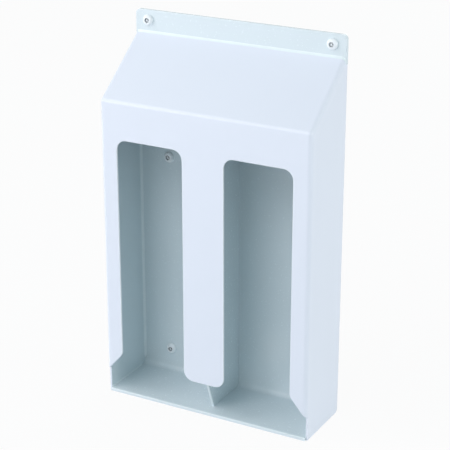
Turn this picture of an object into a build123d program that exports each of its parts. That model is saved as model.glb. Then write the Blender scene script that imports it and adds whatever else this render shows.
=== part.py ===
from build123d import *
import math
import os

# Wall dispenser for two stacks of folded paper towels, made from bent plastic sheet.
# Millimetres. The origin lies on the wall plane, at the centre of the four body screws.
# +X is to the right as seen from the front, +Y goes into the wall and +Z is up.
# Slot, tongue, flare and nose heights are measured up from the underside of the dispenser.
# The slope angle is in degrees above the horizontal.

# Overall form
body_width = 280.0
body_depth = 90.0
front_height = 387.4
slope_angle = 37.546
flange_height = 26.5

# Sheet and bends
hood_sheet = 2.4
hood_inside_bend = 2.9
base_sheet = 4.0
base_inside_bend = 6.0
divider_sheet = 3.2
side_fit_gap = 0.1

# Openings in the front: two tall slots beside a tongue, above a mouth from side to side
side_strip_width = 22.5
tongue_width = 55.6
slot_top_drop = 47.2
slot_corner_radius = 12.7
tongue_bottom_height = 43.3
tongue_corner_radius = 12.7
flare_top_height = 56.0
flare_bottom_height = 30.0
flare_corner_radius = 12.0

# Edges of the hood that a hand or the wall meets
cut_edge_radius = 0.8
hood_seam_radius = 1.2
rear_foot_radius = 5.0

# Mounting flange above the hood
flange_overhang = 0.4
flange_ear_drop = 8.0
flange_corner_radius = 6.0
flange_edge_radius = 0.8

# Front edge of the floor
floor_nose_radius = 1.5

# Divider between the two stacks
divider_offset = 1.6
divider_nose_rise = 8.7
divider_foot_setback = 18.5

# Wall screws with a hexagon socket in a tapered head
flange_screw_inset = 17.8
flange_screw_drop = 12.5
body_screw_inset = 44.0
body_screw_pitch = 263.0
lower_screw_height = 34.0
screw_head_diameter = 13.6
screw_head_height = 4.2
screw_crown_diameter = 8.4
screw_neck_diameter = 5.2
screw_thread_diameter = 4.8
screw_reach = 22.0
socket_across_flats = 5.5
socket_depth = 2.6
screw_hole_clearance = 0.1

# Room that a cut takes beyond the edge it opens
cut_margin = 5.0

# Heights turned into places along Z
underside = -(lower_screw_height + body_screw_pitch / 2)
floor_top = underside + base_sheet
fold_line = underside + front_height
slope_rise = math.tan(math.radians(slope_angle))
hood_top = fold_line + slope_rise * (body_depth - base_sheet)
panel_top = hood_top + flange_height
ear_underside = hood_top - flange_ear_drop

# The sloping top runs from the fold up to the face of the back panel.
slope_at_wall = hood_top + base_sheet * slope_rise
slope_sheet_drop = hood_sheet * math.sqrt(1 + slope_rise**2)

hood_outside_bend = hood_inside_bend + hood_sheet
base_outside_bend = base_inside_bend + base_sheet
slot_edge = body_width / 2 - side_strip_width
slot_top = fold_line - slot_top_drop
tongue_bottom = underside + tongue_bottom_height
inside_width = body_width - 2 * hood_sheet
inside_depth = body_depth - hood_sheet

flange_screw_x = body_width / 2 + flange_overhang - flange_screw_inset
flange_screw_z = panel_top - flange_screw_drop
body_screw_x = body_width / 2 - body_screw_inset
screw_places = {
    "flange_screw_left": (-flange_screw_x, flange_screw_z),
    "flange_screw_right": (flange_screw_x, flange_screw_z),
    "body_screw_upper_left": (-body_screw_x, body_screw_pitch / 2),
    "body_screw_upper_right": (body_screw_x, body_screw_pitch / 2),
    "body_screw_lower_left": (-body_screw_x, -body_screw_pitch / 2),
    "body_screw_lower_right": (body_screw_x, -body_screw_pitch / 2),
}

os.makedirs("parts", exist_ok=True)


def round_corner(sketch, corner, radius):
    """Round the vertex of a sketch that lies at the given place."""
    nearest = sketch.vertices().sort_by_distance(Vector(*corner))[0]
    fillet(nearest, radius=radius)


# The hood is one bent and welded sheet: front, both sides and the sloping top.
# It starts as the solid outside form, takes its bends, and is then opened out to a shell.
with BuildPart() as hood:
    with BuildSketch(Plane.YZ):
        with BuildLine():
            Polyline(
                (0, underside),
                (-body_depth, underside),
                (-body_depth, fold_line),
                (0, slope_at_wall),
                close=True,
            )
        make_face()
    extrude(amount=body_width / 2, both=True)

    front_face = hood.faces().sort_by(Axis.Y)[0]
    slope_face = hood.faces().sort_by(Axis.Z)[-1]
    upright_edges = front_face.edges().filter_by(Axis.Z)
    fold_edge = front_face.edges().filter_by(Axis.X).sort_by(Axis.Z)[-1]
    slope_edges = slope_face.edges().filter_by(Axis.X, reverse=True)
    fillet([*upright_edges, fold_edge, *slope_edges], radius=hood_outside_bend)

    wall_opening = hood.faces().sort_by(Axis.Y)[-1]
    floor_opening = hood.faces().sort_by(Axis.Z)[0]
    offset(amount=-hood_sheet, openings=[wall_opening, floor_opening])

    # Above the ears of the flange the hood stops at the face of the back panel.
    with BuildSketch(Plane.YZ):
        with Locations((0, ear_underside)):
            Rectangle(
                2 * base_sheet,
                slope_at_wall - ear_underside + cut_margin,
                align=(Align.CENTER, Align.MIN),
            )
    extrude(amount=body_width, both=True, mode=Mode.SUBTRACT)

    # The seam along the back panel is eased on the outside of the slope.
    seam_edges = hood.edges().filter_by(Axis.X).filter_by_position(
        Axis.Y, -base_sheet - side_fit_gap, -base_sheet + side_fit_gap
    )
    fillet(seam_edges.sort_by(Axis.Z)[-1], radius=hood_seam_radius)

    # The lower rear corners of the side walls are rounded off.
    rear_foot_edges = hood.edges().filter_by(Axis.X).filter_by_position(
        Axis.Y, -side_fit_gap, side_fit_gap
    )
    fillet(rear_foot_edges.group_by(Axis.Z)[0], radius=rear_foot_radius)

    # Slots and mouth are cut through the front and on round the bends to the side walls.
    flare_corner = (slot_edge, underside + flare_top_height)
    outer_slot_corner = (slot_edge, slot_top)
    inner_slot_corner = (tongue_width / 2, slot_top)
    tongue_corner = (tongue_width / 2, tongue_bottom)
    with BuildSketch(Plane.XZ.offset(body_depth)) as front_opening:
        with BuildLine():
            Polyline(
                (0, underside - cut_margin),
                (body_width / 2 + cut_margin, underside - cut_margin),
                (body_width / 2 + cut_margin, underside + flare_bottom_height),
                (body_width / 2, underside + flare_bottom_height),
                flare_corner,
                outer_slot_corner,
                inner_slot_corner,
                tongue_corner,
                (0, tongue_bottom),
                close=True,
            )
        make_face()
        round_corner(front_opening, outer_slot_corner, slot_corner_radius)
        round_corner(front_opening, inner_slot_corner, slot_corner_radius)
        round_corner(front_opening, tongue_corner, tongue_corner_radius)
        round_corner(front_opening, flare_corner, flare_corner_radius)
        mirror(about=Plane.YZ)
    extrude(amount=-hood_outside_bend, mode=Mode.SUBTRACT)

    # A light radius runs round each slot and along the mouth on the front face.
    front_face = hood.faces().sort_by(Axis.Y)[0]
    opening_edges = front_face.edges().filter_by_position(Axis.X, -slot_edge, slot_edge)
    fillet(opening_edges.sort_by(Axis.Z)[:-1], radius=cut_edge_radius)
hood.part.label = "hood"
export_step(hood.part, "parts/hood.step")


# The base panel is one thicker sheet: flange and back panel, bent forward into the floor.
# Below the flange it is narrowed to stand between the side walls of the hood.
with BuildPart() as base_panel:
    outside_corner = (0, underside)
    nose_corner = (-inside_depth, floor_top)
    inside_corner = (-base_sheet, floor_top)
    with BuildSketch(Plane.YZ) as bent_profile:
        with BuildLine():
            Polyline(
                outside_corner,
                (-inside_depth, underside),
                nose_corner,
                inside_corner,
                (-base_sheet, panel_top),
                (0, panel_top),
                close=True,
            )
        make_face()
        round_corner(bent_profile, outside_corner, base_outside_bend)
        round_corner(bent_profile, inside_corner, base_inside_bend)
        round_corner(bent_profile, nose_corner, floor_nose_radius)
    extrude(amount=body_width, both=True)

    with BuildSketch(Plane.XZ) as panel_outline:
        with Locations((0, ear_underside)):
            Rectangle(
                body_width + 2 * flange_overhang,
                panel_top - ear_underside,
                align=(Align.CENTER, Align.MIN),
            )
        fillet(panel_outline.vertices().group_by(Axis.Y)[-1], radius=flange_corner_radius)
        with Locations((0, underside)):
            Rectangle(
                inside_width - 2 * side_fit_gap,
                hood_top - underside,
                align=(Align.CENTER, Align.MIN),
            )
    extrude(amount=body_depth, mode=Mode.INTERSECT)

    # The flange's front edge is eased where it stands out past the hood.
    panel_face = base_panel.faces().filter_by(Axis.Y).sort_by(Axis.Y)[1]
    flange_rim = panel_face.edges().filter_by_position(Axis.Z, ear_underside + cut_margin, panel_top)
    fillet(flange_rim, radius=flange_edge_radius)

    for across, up in screw_places.values():
        with Locations(Plane.XZ.offset(base_sheet)):
            with Locations((across, up)):
                Hole(radius=screw_neck_diameter / 2 + screw_hole_clearance, depth=base_sheet)
base_panel.part.label = "base_panel"
export_step(base_panel.part, "parts/base_panel.step")


# The divider is a flat sheet that follows the floor, the back panel, the front and the slope.
# Its front edge is cut back below the tongue, so that a hand can reach both stacks.
with BuildPart() as divider:
    fold_corner = (-inside_depth, fold_line + hood_sheet * slope_rise - slope_sheet_drop)
    with BuildSketch(Plane.YZ.offset(divider_offset)) as divider_outline:
        with BuildLine():
            Polyline(
                inside_corner,
                (-inside_depth + divider_foot_setback, floor_top),
                (-inside_depth, tongue_bottom + divider_nose_rise),
                fold_corner,
                (-base_sheet, hood_top - slope_sheet_drop),
                close=True,
            )
        make_face()
        round_corner(divider_outline, fold_corner, hood_inside_bend)
        round_corner(divider_outline, inside_corner, base_inside_bend)
    extrude(amount=divider_sheet / 2, both=True)
divider.part.label = "divider"
export_step(divider.part, "parts/divider.step")


# One screw for each hole: head on the face of the panel, neck through the panel, and
# thread, drawn as a plain cylinder, from the wall plane on into the wall.
for name, (across, up) in screw_places.items():
    head_radius = screw_head_diameter / 2
    crown_radius = screw_crown_diameter / 2
    neck_radius = screw_neck_diameter / 2
    thread_radius = screw_thread_diameter / 2
    head_seat = -base_sheet
    head_top = head_seat - screw_head_height
    with BuildPart() as screw:
        with BuildSketch(Plane(origin=(across, 0, up))):
            with BuildLine():
                Polyline(
                    (crown_radius, head_top),
                    (0, head_top),
                    (0, screw_reach),
                    (thread_radius, screw_reach),
                    (thread_radius, 0),
                    (neck_radius, 0),
                    (neck_radius, head_seat),
                    (head_radius, head_seat),
                    close=True,
                )
            make_face()
        revolve(axis=Axis((across, 0, up), (0, 1, 0)))

        head_face = Plane(origin=(across, head_top, up), x_dir=(1, 0, 0), z_dir=(0, -1, 0))
        with BuildSketch(head_face):
            RegularPolygon(radius=socket_across_flats / 2, side_count=6, major_radius=False)
        extrude(amount=-socket_depth, mode=Mode.SUBTRACT)
    screw.part.label = name
    export_step(screw.part, f"parts/{name}.step")
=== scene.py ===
# %% [markdown]
# # A wall dispenser for folded paper towels
# This lesson dresses a finished model. The shapes, sizes and places of the nine solids come from a packed
# CAD frame and stay as they are. What is added here is what a CAD model leaves out: the skin of the white
# sheet, the beads of cement that hold the joints, the turned heads and threads of the screws, the light,
# the floor and the camera.

# %% Load the frame
import math

import bmesh
import bpy
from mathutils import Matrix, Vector, noise


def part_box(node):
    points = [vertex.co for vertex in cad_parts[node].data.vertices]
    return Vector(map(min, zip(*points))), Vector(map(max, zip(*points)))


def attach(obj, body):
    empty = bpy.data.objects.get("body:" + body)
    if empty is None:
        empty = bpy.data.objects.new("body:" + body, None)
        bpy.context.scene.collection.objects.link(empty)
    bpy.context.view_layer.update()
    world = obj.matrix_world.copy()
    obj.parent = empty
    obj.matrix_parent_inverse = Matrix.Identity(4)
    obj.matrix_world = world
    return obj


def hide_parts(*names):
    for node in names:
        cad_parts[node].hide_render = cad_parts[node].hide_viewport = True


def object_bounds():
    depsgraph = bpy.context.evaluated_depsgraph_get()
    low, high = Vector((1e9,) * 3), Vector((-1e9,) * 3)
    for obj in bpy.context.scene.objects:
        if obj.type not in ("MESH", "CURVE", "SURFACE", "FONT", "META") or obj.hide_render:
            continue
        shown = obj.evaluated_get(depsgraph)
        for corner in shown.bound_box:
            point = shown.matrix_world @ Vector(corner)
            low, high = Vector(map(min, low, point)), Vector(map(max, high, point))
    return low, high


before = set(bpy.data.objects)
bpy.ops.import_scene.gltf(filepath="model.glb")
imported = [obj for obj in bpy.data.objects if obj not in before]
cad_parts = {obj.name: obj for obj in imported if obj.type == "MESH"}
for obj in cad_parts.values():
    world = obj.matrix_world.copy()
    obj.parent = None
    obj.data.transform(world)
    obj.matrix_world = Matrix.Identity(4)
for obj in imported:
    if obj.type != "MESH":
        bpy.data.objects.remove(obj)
cad_box = [list(corner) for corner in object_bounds()]
BODY = "root"
MM = 0.001
print("nodes:", sorted(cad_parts))
print("CAD box in metres:", cad_box)

# %% [markdown]
# The camera comes first, because every later choice is judged through it. The picture was taken with a long
# lens, from the right of the dispenser and above it. Fitting some forty edges of the object gave the place
# and the aim below, so these numbers are a measurement and not a matter of taste.

# %% Camera
EYE = Vector((811.25, -1512.47, 721.92)) * MM
TURN_LEFT = math.radians(28.77)
TILT_DOWN = math.radians(21.17)
LENS_MM = 119.26

camera_data = bpy.data.cameras.new("camera")
camera_data.sensor_width = 36.0
camera_data.lens = LENS_MM
camera = bpy.data.objects.new("camera", camera_data)
bpy.context.collection.objects.link(camera)
camera.location = EYE
camera.rotation_euler = (math.pi / 2 - TILT_DOWN, 0.0, TURN_LEFT)
bpy.context.scene.camera = camera
print("the camera is", round(EYE.length, 3), "m from the middle of the four body screws")

# %% [markdown]
# Colours are easiest to think of as the hex values of a paint chart, but shaders work in linear light. One
# function turns the one into the other. Another adds a node with its settings and its links, so that each
# material below reads as a short list of what its finish is made of.

# %% Helpers for colours and nodes


def linear(hex_colour):
    """Turn an sRGB hex value such as E4E9F2 into linear RGBA."""
    channels = [int(hex_colour[i:i + 2], 16) / 255 for i in (0, 2, 4)]
    light = [c / 12.92 if c <= 0.04045 else ((c + 0.055) / 1.055) ** 2.4 for c in channels]
    return (*light, 1.0)


def add_node(tree, kind, settings, links):
    """Add a node, then set its properties or plain inputs, and link the inputs that other nodes feed."""
    node = tree.nodes.new(kind)
    for name, value in settings.items():
        if isinstance(name, str) and hasattr(node, name):
            setattr(node, name, value)
        else:
            node.inputs[name].default_value = value
    for name, source in links.items():
        tree.links.new(source, node.inputs[name])
    return node


def start_material(name):
    """Start a material that holds only a Principled shader and its output."""
    material = bpy.data.materials.new(name)
    material.use_nodes = True
    tree = material.node_tree
    tree.nodes.clear()
    shader = add_node(tree, "ShaderNodeBsdfPrincipled", {}, {})
    add_node(tree, "ShaderNodeOutputMaterial", {}, {"Surface": shader.outputs["BSDF"]})
    return material, tree, shader


# %% [markdown]
# The hood is white PETG sheet, 2.4 mm thick, bent over a hot wire. It is extruded between polished rolls,
# so its skin is smooth but not a mirror: reflections are soft. Three patterns of different size make the
# skin. The rolls leave a wave of about 70 mm, the melt leaves an orange peel of about 2.5 mm, and the
# pigment is a little cloudy over about 110 mm. PETG has an IOR of 1.57. The white is cool, because the
# pigment holds some blue against yellowing.

# %% Skin of the white sheet
ROLL_WAVE = 70 * MM
ORANGE_PEEL = 2.5 * MM
PIGMENT_CLOUD = 110 * MM
WAVE_RISE, PEEL_RISE = 0.06 * MM, 0.005 * MM
GLOSS_SPREAD = 0.04
PETG_IOR = 1.57


def rolled_sheet(name, bright, shade, roughness):
    """White extruded sheet: clouded pigment, orange peel and roll wave."""
    material, tree, shader = start_material(name)
    place = add_node(tree, "ShaderNodeTexCoord", {}, {}).outputs["Object"]
    cloud = add_node(
        tree, "ShaderNodeTexNoise", {"Scale": 1 / PIGMENT_CLOUD, "Detail": 3.0}, {"Vector": place}
    )
    peel = add_node(tree, "ShaderNodeTexNoise", {"Scale": 1 / ORANGE_PEEL, "Detail": 2.0}, {"Vector": place})
    wave = add_node(tree, "ShaderNodeTexNoise", {"Scale": 1 / ROLL_WAVE, "Detail": 1.0}, {"Vector": place})
    tint = add_node(
        tree,
        "ShaderNodeMix",
        {"data_type": "RGBA", "A": linear(bright), "B": linear(shade)},
        {"Factor": cloud.outputs["Fac"]},
    )
    gloss = add_node(
        tree,
        "ShaderNodeMapRange",
        {"To Min": roughness - GLOSS_SPREAD, "To Max": roughness + GLOSS_SPREAD},
        {"Value": peel.outputs["Fac"]},
    )
    rolled = add_node(
        tree, "ShaderNodeBump", {"Strength": 1.0, "Distance": WAVE_RISE}, {"Height": wave.outputs["Fac"]}
    )
    skin = add_node(
        tree,
        "ShaderNodeBump",
        {"Strength": 1.0, "Distance": PEEL_RISE},
        {"Height": peel.outputs["Fac"], "Normal": rolled.outputs["Normal"]},
    )
    tree.links.new(tint.outputs[2], shader.inputs["Base Color"])
    tree.links.new(gloss.outputs["Result"], shader.inputs["Roughness"])
    tree.links.new(skin.outputs["Normal"], shader.inputs["Normal"])
    shader.inputs["IOR"].default_value = PETG_IOR
    return material, tree, shader, place, tint


pattern_widths = [round(width / MM, 1) for width in (ROLL_WAVE, ORANGE_PEEL, PIGMENT_CLOUD)]
print("the patterns of the skin are", pattern_widths, "mm wide")

# %% [markdown]
# The sheet has a good face, which is turned outward, and a rear face. The rear face is given a greyer,
# greener colour than the good face: that is painted shade, which makes the inside of the hood darker and
# cooler.
# Where the hood is cut, the sawn edge was scraped round and polished with a flame. It is given a colour paler
# than the skin, a painted highlight that draws the thin bright line round each slot. Both places follow from
# the shape: a point belongs to the rear face when it lies as deep inside the outer form as the sheet is
# thick, and to a cut edge when it lies in the thickness of the front, within the field of the slots.

# %% Hood sheet: good face, painted shade on the rear face and painted highlight on the cut edges
HOOD_WHITE, HOOD_SHADE = "DEE6F1", "DCE4EF"
# A darker, greener copy of the white: painted shade for the inside of the hood.
REAR_FACE_PAINTED_SHADE = "D1E0E5"
# A paler white for the cut edges: a painted highlight along each slot.
EDGE_PAINTED_HIGHLIGHT = "F2F7FC"
SLOPE = math.radians(37.546)
HOOD_HALF, HOOD_TOP, PANEL_FACE, SHEET = 140.0, 288.0, -4.0, 2.4
FRONT_Y = cad_box[0][1]
SLOT_HALF_WIDTH = 118.5
SLOT_TOP = 175.5
REAR_MARGIN, FACE_MARGIN = 0.1, 0.06
HOOD_ROUGHNESS = 0.34


def all_of(tree, tests):
    """Multiply tests of the kind value above or below a limit, so that the result is 1 where all hold."""
    result = None
    for operation, value, limit in tests:
        test = add_node(tree, "ShaderNodeMath", {"operation": operation, 1: limit}, {0: value})
        if result is not None:
            test = add_node(
                tree, "ShaderNodeMath", {"operation": "MULTIPLY"}, {0: result.outputs[0], 1: test.outputs[0]}
            )
        result = test
    return result.outputs[0]


hood_sheet, tree, shader, place, tint = rolled_sheet(
    "white_petg_hood_sheet_with_painted_light", HOOD_WHITE, HOOD_SHADE, HOOD_ROUGHNESS
)
apart = add_node(tree, "ShaderNodeSeparateXYZ", {}, {"Vector": place})
half_x = add_node(tree, "ShaderNodeMath", {"operation": "ABSOLUTE"}, {0: apart.outputs["X"]})
up_slope = add_node(
    tree,
    "ShaderNodeVectorMath",
    {"operation": "DOT_PRODUCT", 1: (0.0, -math.sin(SLOPE), math.cos(SLOPE))},
    {0: place},
)
slope_out = (HOOD_TOP * math.cos(SLOPE) - PANEL_FACE * math.sin(SLOPE)) * MM
skin_depth = (SHEET - REAR_MARGIN) * MM
# Rear-face mask: points this deep inside the sheet get the painted shade.
rear = all_of(
    tree,
    [
        ("GREATER_THAN", apart.outputs["Y"], FRONT_Y + skin_depth),
        ("LESS_THAN", half_x.outputs[0], HOOD_HALF * MM - skin_depth),
        ("LESS_THAN", up_slope.outputs["Value"], slope_out - skin_depth),
    ],
)
# Cut-edge mask: the thickness of the front within the field of the slots gets the painted highlight.
cut_edge_painted_highlight = all_of(
    tree,
    [
        ("GREATER_THAN", apart.outputs["Y"], FRONT_Y + FACE_MARGIN * MM),
        ("LESS_THAN", apart.outputs["Y"], FRONT_Y + skin_depth),
        ("LESS_THAN", half_x.outputs[0], SLOT_HALF_WIDTH * MM),
        ("LESS_THAN", apart.outputs["Z"], SLOT_TOP * MM),
    ],
)
colour = tint.outputs[2]
# Lay the painted shade of the rear face and the painted highlight of the cut edges over the skin's colour.
for painted_light_mask, painted_light_colour in ((rear, REAR_FACE_PAINTED_SHADE), (cut_edge_painted_highlight, EDGE_PAINTED_HIGHLIGHT)):
    mixed = add_node(
        tree,
        "ShaderNodeMix",
        {"data_type": "RGBA", "B": linear(painted_light_colour)},
        {"Factor": painted_light_mask, "A": colour},
    )
    colour = mixed.outputs[2]
tree.links.new(colour, shader.inputs["Base Color"])
print("the hood sheet's finish has", len(tree.nodes), "nodes")

# %% [markdown]
# The base panel and the divider are cut from thicker stock, 4 mm and 3.2 mm. It is the same plastic, but
# both are given a white a shade greener, darker and less blue than the hood: that colour is painted shade,
# which makes the inside look cool and the flange look plainer than the slope in front of it.

# %% Panel and divider sheet, in a white darkened as painted shade
# Darker, greener copies of the hood's white: painted shade for the inside and the flange.
PANEL_PAINTED_SHADE_WHITE, PANEL_PAINTED_SHADE_CLOUD = "D7E4E9", "D5E2E7"
DIVIDER_PAINTED_SHADE_WHITE, DIVIDER_PAINTED_SHADE_CLOUD = "D3E1E6", "D1DFE4"
THICK_ROUGHNESS = 0.26

panel_sheet = rolled_sheet("white_petg_panel_sheet_painted_shade", PANEL_PAINTED_SHADE_WHITE, PANEL_PAINTED_SHADE_CLOUD, THICK_ROUGHNESS)[0]
divider_sheet = rolled_sheet("white_petg_divider_sheet_painted_shade", DIVIDER_PAINTED_SHADE_WHITE, DIVIDER_PAINTED_SHADE_CLOUD, THICK_ROUGHNESS)[0]


def dress(node, material):
    """Put a material on every slot of a CAD node."""
    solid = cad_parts[node]
    if not solid.material_slots:
        solid.data.materials.append(material)
    for material_slot in solid.material_slots:
        material_slot.material = material


dress("hood", hood_sheet)
dress("base_panel", panel_sheet)
dress("divider", divider_sheet)
print("dressed the hood, the base panel and the divider")

# %% [markdown]
# The sheets are joined with thickened solvent cement, run into each corner and drawn along with a rounded
# stick. That leaves a hollow fillet a few millimetres wide. It catches the light like a bend does, so the
# joint between slope and flange shows as a bright line, and the rear corners inside show as a pale band.
# The bead is made as a sweep along the corner. Its section is a quarter-round hollow between a point on each
# sheet, and its width wanders by a tenth, as the hand that drew it did.

# %% Beads of cement
CEMENT_WHITE, CEMENT_SHADE = "E3EFF2", "DEEBEE"
CEMENT_LUMP, CEMENT_RIPPLE = 5 * MM, 0.04 * MM
CEMENT_ROUGHNESS, CEMENT_IOR = 0.3, 1.5
ARC_STEPS = 7
RUN_STEP = 4 * MM
SUNK = 0.25 * MM
TAPER, BLUNT_END = 5 * MM, 0.3 * MM
SLOW_WANDER, QUICK_WANDER = 40, 160
SLOW_SHARE, QUICK_SHARE = 0.1, 0.04

cement, tree, shader = start_material("white_solvent_cement")
place = add_node(tree, "ShaderNodeTexCoord", {}, {}).outputs["Object"]
lumps = add_node(tree, "ShaderNodeTexNoise", {"Scale": 1 / CEMENT_LUMP, "Detail": 3.0}, {"Vector": place})
tint = add_node(
    tree,
    "ShaderNodeMix",
    {"data_type": "RGBA", "A": linear(CEMENT_WHITE), "B": linear(CEMENT_SHADE)},
    {"Factor": lumps.outputs["Fac"]},
)
ripple = add_node(
    tree, "ShaderNodeBump", {"Strength": 1.0, "Distance": CEMENT_RIPPLE}, {"Height": lumps.outputs["Fac"]}
)
tree.links.new(tint.outputs[2], shader.inputs["Base Color"])
tree.links.new(ripple.outputs["Normal"], shader.inputs["Normal"])
shader.inputs["Roughness"].default_value = CEMENT_ROUGHNESS
shader.inputs["IOR"].default_value = CEMENT_IOR


def lay_bead(name, stations):
    """Sweep a hollow fillet through stations: a corner, a way along each sheet, and the two legs in mm."""
    bead = bmesh.new()
    rings = []
    lengths = [(Vector(one[0]) - Vector(two[0])).length * MM for one, two in zip(stations, stations[1:])]
    total = sum(lengths)
    done = 0.0
    for (one, two), length in zip(zip(stations, stations[1:]), lengths):
        steps = max(1, round(length / RUN_STEP))
        last = two is stations[-1]
        for step in range(steps + 1 if last else steps):
            t = step / steps
            corner = Vector(one[0]).lerp(Vector(two[0]), t) * MM
            first = Vector(one[1]).lerp(Vector(two[1]), t).normalized()
            second = Vector(one[2]).lerp(Vector(two[2]), t).normalized()
            here = done + t * length
            taper = min(1.0, (here + BLUNT_END) / TAPER, (total - here + BLUNT_END) / TAPER) ** 0.5
            slow = SLOW_SHARE * noise.noise(corner * SLOW_WANDER)
            quick = QUICK_SHARE * noise.noise(corner * QUICK_WANDER)
            hand = taper * (1 + slow + quick)
            near = corner + first * ((one[3] * (1 - t) + two[3] * t) * MM * hand)
            far = corner + second * ((one[4] * (1 - t) + two[4] * t) * MM * hand)
            ring = []
            for arc in range(ARC_STEPS + 1):
                u = arc / ARC_STEPS
                ring.append(near * (1 - u) ** 2 + corner * 2 * u * (1 - u) + far * u * u)
            ring += [far - first * SUNK, corner - (first + second) * SUNK, near - second * SUNK]
            rings.append([bead.verts.new(point) for point in ring])
        done += length
    count = len(rings[0])
    for one, two in zip(rings, rings[1:]):
        for i in range(count):
            face = bead.faces.new((one[i], one[(i + 1) % count], two[(i + 1) % count], two[i]))
            face.smooth = i < ARC_STEPS
    bead.faces.new(rings[0][::-1])
    bead.faces.new(rings[-1])
    bmesh.ops.recalc_face_normals(bead, faces=bead.faces)
    mesh = bpy.data.meshes.new(name)
    bead.to_mesh(mesh)
    bead.free()
    mesh.materials.append(cement)
    piece = bpy.data.objects.new(name, mesh)
    bpy.context.collection.objects.link(piece)
    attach(piece, BODY)
    return piece


# %% [markdown]
# The bead on the outside follows the edge of the hood across the slope and down round both of its bends, to
# the underside of the flange's ears. The bends are round about the slope's own direction, so where the
# upright panel cuts them they make quarter ellipses, taller than they are wide.

# %% Lay the beads
HOOD_BEND = 5.3
EAR_UNDERSIDE = 280.0
WALL_INSIDE = 137.6
FLOOR_TOP = -161.5
SLOPE_LEG, FLANGE_LEG = 2.6, 1.3
SIDE_LEG, EAR_LEG = 0.8, 0.35
REAR_LEG, FOOT_LEG = 2.6, 1.3
REAR_BEAD_SPAN = (FLOOR_TOP + 7, HOOD_TOP - 10)
FOOT_BEAD_SPAN = (-86.0, -11.0)

down_slope = (0.0, -math.cos(SLOPE), -math.sin(SLOPE))
bend_height = HOOD_BEND / math.cos(SLOPE)
right_half = [((0.0, PANEL_FACE, HOOD_TOP), down_slope, (0.0, 0.0, 1.0), SLOPE_LEG, FLANGE_LEG)]
for degrees in (90, 70, 50, 30, 10, 0):
    turn = math.radians(degrees)
    corner = (
        HOOD_HALF - HOOD_BEND * (1 - math.cos(turn)),
        PANEL_FACE,
        HOOD_TOP - bend_height * (1 - math.sin(turn)),
    )
    up_share = degrees / 90
    lean = SLOPE * up_share
    along = (0.0, -math.cos(lean), -math.sin(lean))
    out = (math.cos(turn), 0.0, math.sin(turn))
    near = SIDE_LEG + (SLOPE_LEG - SIDE_LEG) * up_share
    far = EAR_LEG + (FLANGE_LEG - EAR_LEG) * up_share
    right_half.append((corner, along, out, near, far))
ear_end = (HOOD_HALF, PANEL_FACE, EAR_UNDERSIDE)
right_half.append((ear_end, (0.0, -1.0, 0.0), (1.0, 0.0, 0.0), SIDE_LEG, EAR_LEG))
left_half = [
    ((-corner[0], corner[1], corner[2]), along, (-out[0], out[1], out[2]), near, far)
    for corner, along, out, near, far in right_half[:0:-1]
]
beads = [lay_bead("seam_bead", left_half + right_half)]

for side, name in ((-1.0, "left"), (1.0, "right")):
    wall = side * WALL_INSIDE
    inward, forward, upward = (-side, 0.0, 0.0), (0.0, -1.0, 0.0), (0.0, 0.0, 1.0)
    rear = [((wall, PANEL_FACE, z), inward, forward, REAR_LEG, REAR_LEG) for z in REAR_BEAD_SPAN]
    foot = [((wall, y, FLOOR_TOP), inward, upward, FOOT_LEG, FOOT_LEG) for y in FOOT_BEAD_SPAN]
    beads += [lay_bead(f"rear_corner_bead_{name}", rear), lay_bead(f"floor_bead_{name}", foot)]
print("laid", len(beads), "beads of cement")

# %% [markdown]
# The screws are turned from steel. The head and the neck carry a white baked enamel, and so does the tip
# of the pin in the socket. The walls of the hexagon get grey steel instead, partly bare steel and partly
# painted shade that darkens the recess round the white pin. The thread is only zinc plated. The marks of
# the cutting tool are far finer than a millimetre, so they are drawn some millimetres wide to show at all.

# %% Finishes of the screws
ENAMEL_WHITE, ENAMEL_SHADE = "EEF4F7", "E6EEF2"
ENAMEL_FLOW, ENAMEL_RUN = 1.5 * MM, 0.01 * MM
ENAMEL_ROUGHNESS, ENAMEL_IOR = 0.3, 1.5
TOOL_MARK_DEPTH = 0.01 * MM

enamel, tree, shader = start_material("white_baked_enamel")
place = add_node(tree, "ShaderNodeTexCoord", {}, {}).outputs["Object"]
flow = add_node(tree, "ShaderNodeTexNoise", {"Scale": 1 / ENAMEL_FLOW, "Detail": 1.0}, {"Vector": place})
tint = add_node(
    tree,
    "ShaderNodeMix",
    {"data_type": "RGBA", "A": linear(ENAMEL_WHITE), "B": linear(ENAMEL_SHADE)},
    {"Factor": flow.outputs["Fac"]},
)
runs = add_node(
    tree, "ShaderNodeBump", {"Strength": 1.0, "Distance": ENAMEL_RUN}, {"Height": flow.outputs["Fac"]}
)
tree.links.new(tint.outputs[2], shader.inputs["Base Color"])
tree.links.new(runs.outputs["Normal"], shader.inputs["Normal"])
shader.inputs["Roughness"].default_value = ENAMEL_ROUGHNESS
shader.inputs["IOR"].default_value = ENAMEL_IOR


def machined_steel(name, bright, shade, roughness, groove):
    """Cut steel: bands across the axis from the tool, in the height and in the tint."""
    material, tree, shader = start_material(name)
    place = add_node(tree, "ShaderNodeTexCoord", {}, {}).outputs["Object"]
    marks = add_node(
        tree,
        "ShaderNodeTexWave",
        {"bands_direction": "Y", "Scale": 1 / groove, "Distortion": 1.5},
        {"Vector": place},
    )
    tint = add_node(
        tree,
        "ShaderNodeMix",
        {"data_type": "RGBA", "A": linear(bright), "B": linear(shade)},
        {"Factor": marks.outputs["Fac"]},
    )
    cut_marks = add_node(
        tree,
        "ShaderNodeBump",
        {"Strength": 0.4, "Distance": TOOL_MARK_DEPTH},
        {"Height": marks.outputs["Fac"]},
    )
    tree.links.new(tint.outputs[2], shader.inputs["Base Color"])
    tree.links.new(cut_marks.outputs["Normal"], shader.inputs["Normal"])
    shader.inputs["Metallic"].default_value = 1.0
    shader.inputs["Roughness"].default_value = roughness
    return material


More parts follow.
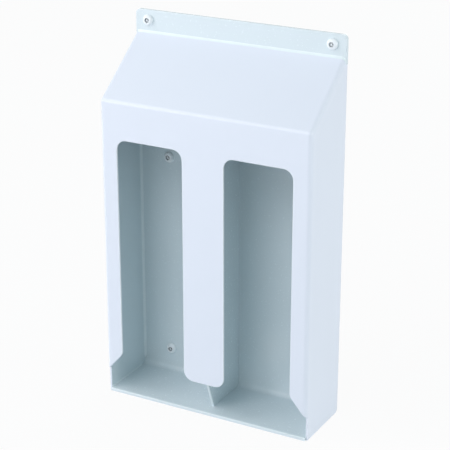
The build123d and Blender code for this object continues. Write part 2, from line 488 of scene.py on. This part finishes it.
# The grey of the socket walls is partly bare steel and partly painted shade for the recess.
socket_steel_painted_shade = machined_steel("broached_socket_steel_painted_shade", "C6CCCF", "B2B9BD", 0.5, 6 * MM)
thread_steel = machined_steel("zinc_plated_thread", "C4C9CC", "A9AFB3", 0.35, 4 * MM)
print("finishes of a screw:", enamel.name, socket_steel_painted_shade.name, thread_steel.name)

# %% [markdown]
# All six screws are one mesh, turned to a different angle each, as a screwdriver leaves them. The mesh is a
# lathe form: rings of points round an axis. A ring in the socket has six corners in place of a round, and a
# ring on the thread rises and falls with a spiral. A lathe form needs no boolean, so its faces stay clean.

# %% Measures of a screw in millimetres
ROUND = 48
HEAD_RADIUS, CROWN_RADIUS, RIM, HEAD_TOP = 6.8, 3.9, 0.8, 4.2
SOCKET_FLATS, SOCKET_DEPTH, PIN_RADIUS, PIN_HEIGHT = 5.5, 2.6, 1.15, 2.4
EDGE_BREAK, SOCKET_FLARE = 0.2, 0.4
CROWN_START, CROWN_SWING, CROWN_STEPS = math.radians(12), math.radians(78), 8
NECK_RADIUS, CREST, ROOT, PITCH, REACH, POINT = 2.6, 2.4, 1.85, 2.0, 22.0, 4.0
THREAD_ROW, RIDGE_SHARPNESS, RUN_IN, TIP_RADIUS, ROW_GAP = 0.25, 3.2, 1.5, 0.12, 0.01
FLAT_RINGS = 4
SHARP = math.radians(35)
PANEL = 4.0
print("the socket is", SOCKET_FLATS, "across its flats, and the pitch is", PITCH)

# %% Turn one screw


def hexagon(angle, flats):
    """Distance from the axis to a hexagon's side at an angle."""
    turned = (angle + math.pi / 6) % (math.pi / 3) - math.pi / 6
    return flats / 2 / math.cos(turned)


def head_rings():
    """Rings from the pin out over the head to the neck: place along the axis, radius and finish."""
    rings = [
        (PIN_HEIGHT, lambda a: PIN_RADIUS - EDGE_BREAK, 0),
        (PIN_HEIGHT - EDGE_BREAK, lambda a: PIN_RADIUS, 1),
        (0.0, lambda a: PIN_RADIUS, 1),
        (0.0, lambda a: hexagon(a, SOCKET_FLATS), 1),
        (SOCKET_DEPTH - EDGE_BREAK, lambda a: hexagon(a, SOCKET_FLATS), 1),
        (SOCKET_DEPTH, lambda a: hexagon(a, SOCKET_FLATS + SOCKET_FLARE), 0),
    ]
    rings = [(depth + HEAD_TOP - SOCKET_DEPTH, radius, metal) for depth, radius, metal in rings]
    start_sine, start_cosine = math.sin(CROWN_START), math.cos(CROWN_START)
    for step in range(CROWN_STEPS + 1):
        swing = CROWN_START + CROWN_SWING * step / CROWN_STEPS
        out_share = (math.sin(swing) - start_sine) / (1 - start_sine)
        reach = CROWN_RADIUS + (HEAD_RADIUS - CROWN_RADIUS) * out_share
        height = RIM + (HEAD_TOP - RIM) * math.cos(swing) / start_cosine
        rings.append((height, lambda a, r=reach: r, 0))
    rings.append((0.0, lambda a: HEAD_RADIUS, 0))
    rings.append((0.0, lambda a: NECK_RADIUS, 0))
    return [(-PANEL - height, radius, metal) for height, radius, metal in rings]


def turn_screw():
    """Join the rings of the head and of the thread into one closed mesh, its axis along Y."""
    screw = bmesh.new()
    rings = head_rings()
    rings.append((0.0, lambda a: NECK_RADIUS, 2))
    rows = round(REACH / THREAD_ROW)
    for row in range(rows + 1):
        y = row * REACH / rows
        to_end = min(1.0, (REACH - y) / POINT)

        def spiral(a, y=y, to_end=to_end):
            phase = (y / PITCH - a / (2 * math.pi)) % 1.0
            ridge = max(0.0, 1 - abs(phase - 0.5) * RIDGE_SHARPNESS)
            return max(TIP_RADIUS, (ROOT + (CREST - ROOT) * ridge * min(1.0, y / RUN_IN)) * to_end)

        rings.append((y + ROW_GAP, spiral, 2))
    loops = []
    for y, radius, metal in rings:
        loop = []
        for k in range(ROUND):
            a = 2 * math.pi * k / ROUND
            r = radius(a)
            loop.append(screw.verts.new((r * math.cos(a) * MM, y * MM, r * math.sin(a) * MM)))
        loops.append(loop)
    for index, (one, two) in enumerate(zip(loops, loops[1:])):
        metal = rings[index][2]
        for k in range(ROUND):
            face = screw.faces.new((one[k], one[(k + 1) % ROUND], two[(k + 1) % ROUND], two[k]))
            face.material_index = metal
            face.smooth = index > FLAT_RINGS
    tip = screw.faces.new(loops[0])
    tip.material_index = 0
    screw.faces.new(loops[-1][::-1]).material_index = 2
    bmesh.ops.recalc_face_normals(screw, faces=screw.faces)
    for edge in screw.edges:
        if len(edge.link_faces) == 2 and edge.calc_face_angle(0) > SHARP:
            edge.smooth = False
    mesh = bpy.data.meshes.new("turned_screw")
    screw.to_mesh(mesh)
    screw.free()
    for material in (enamel, socket_steel_painted_shade, thread_steel):
        mesh.materials.append(material)
    return mesh


screw_mesh = turn_screw()
print("one screw has", len(screw_mesh.polygons), "faces")

# %% [markdown]
# Each screw goes where its CAD solid is. That solid stays for collision and is hidden, and the turned mesh
# stands for it.

# %% Set the six screws
SCREW_TURNS = {
    "flange_screw_left": 8,
    "flange_screw_right": 31,
    "body_screw_upper_left": 52,
    "body_screw_upper_right": 14,
    "body_screw_lower_left": 24,
    "body_screw_lower_right": 40,
}
for node, degrees in SCREW_TURNS.items():
    low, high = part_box(node)
    piece = bpy.data.objects.new(f"turned_{node}", screw_mesh)
    bpy.context.collection.objects.link(piece)
    piece.location = ((low[0] + high[0]) / 2, 0.0, (low[2] + high[2]) / 2)
    piece.rotation_euler = (0.0, math.radians(degrees), 0.0)
    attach(piece, BODY)
    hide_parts(node)
    dress(node, enamel)
print("set", len(SCREW_TURNS), "screws")

# %% [markdown]
# The floor is plain and pale, and it carries the shadow. To the camera it is mostly a flat white of its own,
# so that the background is as white as paper, and the rest is an ordinary matt white that takes the shadow.

# %% Floor
FLOOR_HALF = 8.0
FLOOR_WHITE, FLOOR_ROUGHNESS = "D2D6D9", 0.9
CAMERA_WHITE = 0.94


def seen_or_mirrored(tree):
    """Give 1 for a ray from the camera, off a gloss or through a clear piece, and 0 for plain light."""
    rays = add_node(tree, "ShaderNodeLightPath", {}, {})
    views = rays.outputs["Is Camera Ray"]
    for other in ("Is Glossy Ray", "Is Transmission Ray"):
        either = {0: views, 1: rays.outputs[other]}
        views = add_node(tree, "ShaderNodeMath", {"operation": "MAXIMUM"}, either).outputs[0]
    return views


floor_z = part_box("base_panel")[0][2]
floor_mesh = bpy.data.meshes.new("floor")
corners = [(x * FLOOR_HALF, y * FLOOR_HALF, floor_z) for x, y in ((-1, -1), (1, -1), (1, 1), (-1, 1))]
floor_mesh.from_pydata(corners, [], [(0, 1, 2, 3)])
floor = bpy.data.objects.new("floor", floor_mesh)
bpy.context.collection.objects.link(floor)

floor_material, tree, shader = start_material("matt_white_floor")
shader.inputs["Base Color"].default_value = linear(FLOOR_WHITE)
shader.inputs["Roughness"].default_value = FLOOR_ROUGHNESS
shader.inputs["Specular IOR Level"].default_value = 0.0
glow = add_node(tree, "ShaderNodeEmission", {"Strength": 1.0}, {})
share = add_node(
    tree, "ShaderNodeMath", {"operation": "MULTIPLY", 1: CAMERA_WHITE}, {0: seen_or_mirrored(tree)}
)
blend = add_node(
    tree,
    "ShaderNodeMixShader",
    {},
    {0: share.outputs[0], 1: shader.outputs["BSDF"], 2: glow.outputs["Emission"]},
)
tree.links.new(blend.outputs["Shader"], tree.nodes["Material Output"].inputs["Surface"])
floor_mesh.materials.append(floor_material)
print("the floor lies", round(floor_z, 4), "m from the middle of the four body screws")

# %% [markdown]
# The light is that of a product table in a white tent. A large soft box stands to the left of the front, with
# a weaker one nearly in front, and a third stands to the right. The strong two are well over a right angle
# apart, so the bend between the front and the right side is the one place that neither reaches well, and it
# shows as a darker band. Two more hang above and light the slope and the floor inside the mouth. The room
# itself gives only a little, or the inside would lose its depth. A last soft box stands behind, for whoever
# walks round the object.

# %% World
ROOM_LIGHT, ROOM_TINT = 0.4, "EBFDFF"

world = bpy.data.worlds.new("white_room")
bpy.context.scene.world = world
world.use_nodes = True
room = world.node_tree
room.nodes.clear()
ambient = add_node(room, "ShaderNodeBackground", {"Color": linear(ROOM_TINT), "Strength": ROOM_LIGHT}, {})
backdrop = add_node(room, "ShaderNodeBackground", {"Color": (1.0, 1.0, 1.0, 1.0), "Strength": 1.0}, {})
sky = add_node(
    room,
    "ShaderNodeMixShader",
    {},
    {0: seen_or_mirrored(room), 1: ambient.outputs["Background"], 2: backdrop.outputs["Background"]},
)
add_node(room, "ShaderNodeOutputWorld", {}, {"Surface": sky.outputs["Shader"]})
print("the room gives", ROOM_LIGHT, "of full light")

# %% Soft boxes
MIDDLE = (Vector(cad_box[0]) + Vector(cad_box[1])) / 2
BOX_DISTANCE = 4.0


def soft_box(name, azimuth, elevation, size, watts, colour):
    """Hang a square soft box aimed at the object. Azimuth 0 is in front of it and 90 is to its right."""
    lamp = bpy.data.lights.new(name, "AREA")
    lamp.shape = "SQUARE"
    lamp.size = size
    lamp.energy = watts
    lamp.color = linear(colour)[:3]
    holder = bpy.data.objects.new(name, lamp)
    bpy.context.collection.objects.link(holder)
    a, e = math.radians(azimuth), math.radians(elevation)
    away = Vector((math.sin(a) * math.cos(e), -math.cos(a) * math.cos(e), math.sin(e)))
    holder.location = MIDDLE + away * BOX_DISTANCE
    holder.rotation_euler = (-away).to_track_quat("-Z", "Y").to_euler()
    return holder


soft_boxes = [
    soft_box("front_left", -44, 6, 2.0, 78.0, "FFF6FB"),
    soft_box("front_low", -5, 2, 2.0, 22.0, "FFF8FC"),
    soft_box("left_high", -60, 46, 1.6, 34.0, "FFFAFC"),
    soft_box("front_high", -5, 48, 1.6, 26.0, "FFFCFF"),
    soft_box("right", 92, 6, 2.0, 92.0, "FFFAFB"),
    soft_box("behind", 185, 30, 2.0, 28.0, "FFFFFF"),
]
bpy.context.scene.view_settings.view_transform = "Standard"
print("hung", len(soft_boxes), "soft boxes")
